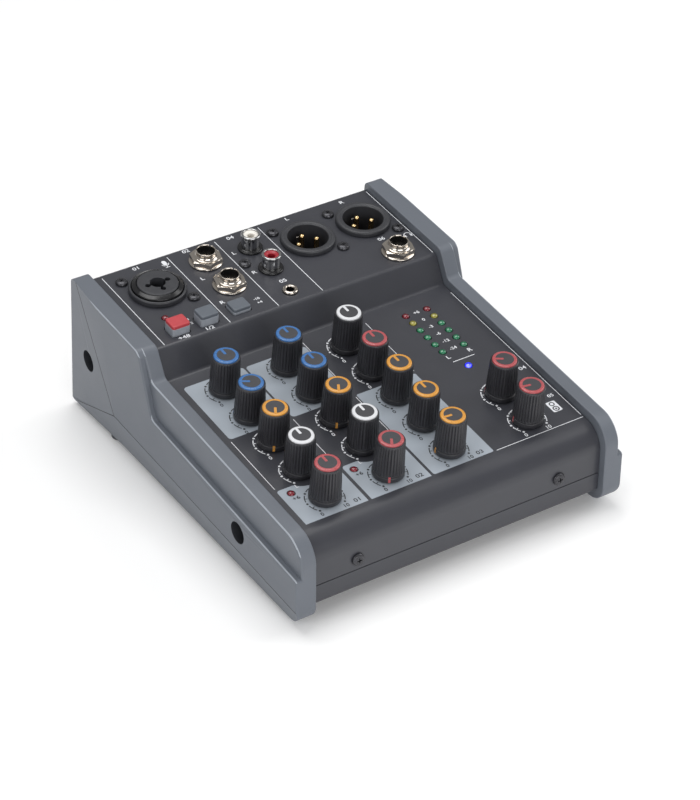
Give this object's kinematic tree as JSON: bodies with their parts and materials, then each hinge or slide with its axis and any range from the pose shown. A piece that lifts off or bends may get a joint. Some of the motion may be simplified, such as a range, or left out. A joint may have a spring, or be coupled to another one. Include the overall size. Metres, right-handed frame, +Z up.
{
  "type": "audio mixing console",
  "caption": "Compact desktop audio mixing console: sloped sheet-steel chassis between moulded side cheeks, with rotary knobs, push buttons, level meter lamps and top-facing sockets",
  "frame": {"origin": "middle of the footprint, on the table under the feet", "axes": "+X to the right across the width, +Y from the user's edge to the rear, +Z up"},
  "size_m": [0.164, 0.1922, 0.075],
  "materials": {
    "chassis": "satin charcoal powder coat",
    "cheek": "fine-grained satin moulding",
    "board": "solder mask",
    "black_plastic": "satin",
    "nickel": "bright nickel plate",
    "black_steel": "black zinc",
    "meter_lamp": "tinted epoxy",
    "blue_lamp": "tinted epoxy",
    "red_lamp": "tinted epoxy",
    "rubber_foot": "matt",
    "knob": "satin",
    "red_button": "satin",
    "grey_button": "satin"
  },
  "bodies": {
    "chassis": {"top_shell": "chassis", "bottom_pan": "chassis", "cheek_left": "cheek", "cheek_right": "cheek", "control_board": "board", "io_board": "board", "dc_inlet": "black_plastic", "combo_jack": "black_plastic", "xlr_left": "black_plastic", "xlr_right": "black_plastic", "jack_line_1": "nickel", "nut_line_1": "nickel", "jack_line_2": "nickel", "nut_line_2": "nickel", "jack_phones": "nickel", "nut_phones": "nickel", "rca_block": "nickel", "mini_jack": "nickel", "screw_combo_1": "black_steel", "screw_combo_2": "black_steel", "screw_xlr_left_1": "black_steel", "screw_xlr_left_2": "black_steel", "screw_xlr_right_1": "black_steel", "screw_xlr_right_2": "black_steel", "screw_rca": "black_steel", "meter_leds": "meter_lamp", "power_led": "blue_lamp", "phantom_led": "red_lamp", "peak_led_1": "red_lamp", "peak_led_2": "red_lamp", "front_screw_left": "black_steel", "cheek_screw_left_rear": "black_steel", "cheek_screw_left_front": "black_steel", "foot_left_rear": "rubber_foot", "foot_left_front": "rubber_foot", "front_screw_right": "black_steel", "cheek_screw_right_rear": "black_steel", "cheek_screw_right_front": "black_steel", "foot_right_rear": "rubber_foot", "foot_right_front": "rubber_foot"},
    "knob_1_1": {"knob_1_1": "knob"},
    "knob_2_1": {"knob_2_1": "knob"},
    "knob_3_1": {"knob_3_1": "knob"},
    "knob_4_1": {"knob_4_1": "knob"},
    "knob_5_1": {"knob_5_1": "knob"},
    "knob_1_2": {"knob_1_2": "knob"},
    "knob_2_2": {"knob_2_2": "knob"},
    "knob_3_2": {"knob_3_2": "knob"},
    "knob_4_2": {"knob_4_2": "knob"},
    "knob_5_2": {"knob_5_2": "knob"},
    "knob_1_3": {"knob_1_3": "knob"},
    "knob_2_3": {"knob_2_3": "knob"},
    "knob_3_3": {"knob_3_3": "knob"},
    "knob_4_3": {"knob_4_3": "knob"},
    "knob_5_3": {"knob_5_3": "knob"},
    "knob_4_4": {"knob_4_4": "knob"},
    "knob_5_4": {"knob_5_4": "knob"},
    "button_phantom": {"button_phantom": "red_button"},
    "button_impedance": {"button_impedance": "grey_button"},
    "button_level": {"button_level": "grey_button"}
  },
  "joints": [
    {"name": "turn_1_1", "type": "hinge", "parent": "chassis", "child": "knob_1_1", "pos_m": [-0.0523, 0.00688, 0.04875], "axis": [0, -0.0981, 0.9952], "range_deg": [-150, 150]},
    {"name": "turn_2_1", "type": "hinge", "parent": "chassis", "child": "knob_2_1", "pos_m": [-0.0523, -0.01302, 0.04679], "axis": [0, -0.0981, 0.9952], "range_deg": [-210, 90]},
    {"name": "turn_3_1", "type": "hinge", "parent": "chassis", "child": "knob_3_1", "pos_m": [-0.0523, -0.03163, 0.04496], "axis": [0, -0.0981, 0.9952], "range_deg": [-300, 0]},
    {"name": "turn_4_1", "type": "hinge", "parent": "chassis", "child": "knob_4_1", "pos_m": [-0.0523, -0.05154, 0.04299], "axis": [0, -0.0981, 0.9952], "range_deg": [-150, 150]},
    {"name": "turn_5_1", "type": "hinge", "parent": "chassis", "child": "knob_5_1", "pos_m": [-0.0523, -0.07094, 0.04108], "axis": [0, -0.0981, 0.9952], "range_deg": [-150, 150]},
    {"name": "turn_1_2", "type": "hinge", "parent": "chassis", "child": "knob_1_2", "pos_m": [-0.0215, 0.00688, 0.04875], "axis": [0, -0.0981, 0.9952], "range_deg": [-150, 150]},
    {"name": "turn_2_2", "type": "hinge", "parent": "chassis", "child": "knob_2_2", "pos_m": [-0.0215, -0.01302, 0.04679], "axis": [0, -0.0981, 0.9952], "range_deg": [-150, 150]},
    {"name": "turn_3_2", "type": "hinge", "parent": "chassis", "child": "knob_3_2", "pos_m": [-0.0215, -0.03163, 0.04496], "axis": [0, -0.0981, 0.9952], "range_deg": [-300, 0]},
    {"name": "turn_4_2", "type": "hinge", "parent": "chassis", "child": "knob_4_2", "pos_m": [-0.0215, -0.05154, 0.04299], "axis": [0, -0.0981, 0.9952], "range_deg": [-150, 150]},
    {"name": "turn_5_2", "type": "hinge", "parent": "chassis", "child": "knob_5_2", "pos_m": [-0.0215, -0.07094, 0.04108], "axis": [0, -0.0981, 0.9952], "range_deg": [-300, 0]},
    {"name": "turn_1_3", "type": "hinge", "parent": "chassis", "child": "knob_1_3", "pos_m": [0.0091, 0.00688, 0.04875], "axis": [0, -0.0981, 0.9952], "range_deg": [-150, 150]},
    {"name": "turn_2_3", "type": "hinge", "parent": "chassis", "child": "knob_2_3", "pos_m": [0.0091, -0.01302, 0.04679], "axis": [0, -0.0981, 0.9952], "range_deg": [-150, 150]},
    {"name": "turn_3_3", "type": "hinge", "parent": "chassis", "child": "knob_3_3", "pos_m": [0.0091, -0.03163, 0.04496], "axis": [0, -0.0981, 0.9952], "range_deg": [-150, 150]},
    {"name": "turn_4_3", "type": "hinge", "parent": "chassis", "child": "knob_4_3", "pos_m": [0.0091, -0.05154, 0.04299], "axis": [0, -0.0981, 0.9952], "range_deg": [-150, 150]},
    {"name": "turn_5_3", "type": "hinge", "parent": "chassis", "child": "knob_5_3", "pos_m": [0.0091, -0.07094, 0.04108], "axis": [0, -0.0981, 0.9952], "range_deg": [-235, 65]},
    {"name": "turn_4_4", "type": "hinge", "parent": "chassis", "child": "knob_4_4", "pos_m": [0.0493, -0.05154, 0.04299], "axis": [0, -0.0981, 0.9952], "range_deg": [-210, 90]},
    {"name": "turn_5_4", "type": "hinge", "parent": "chassis", "child": "knob_5_4", "pos_m": [0.0493, -0.07094, 0.04108], "axis": [0, -0.0981, 0.9952], "range_deg": [-230, 70]},
    {"name": "push_phantom", "type": "slide", "parent": "chassis", "child": "button_phantom", "axis": [0, -0.0839, 0.9965], "range_m": [-0.0026, 0]},
    {"name": "push_impedance", "type": "slide", "parent": "chassis", "child": "button_impedance", "axis": [0, -0.0839, 0.9965], "range_m": [-0.0026, 0]},
    {"name": "push_level", "type": "slide", "parent": "chassis", "child": "button_level", "axis": [0, -0.0839, 0.9965], "range_m": [-0.0002, 0.0026]}
  ]
}
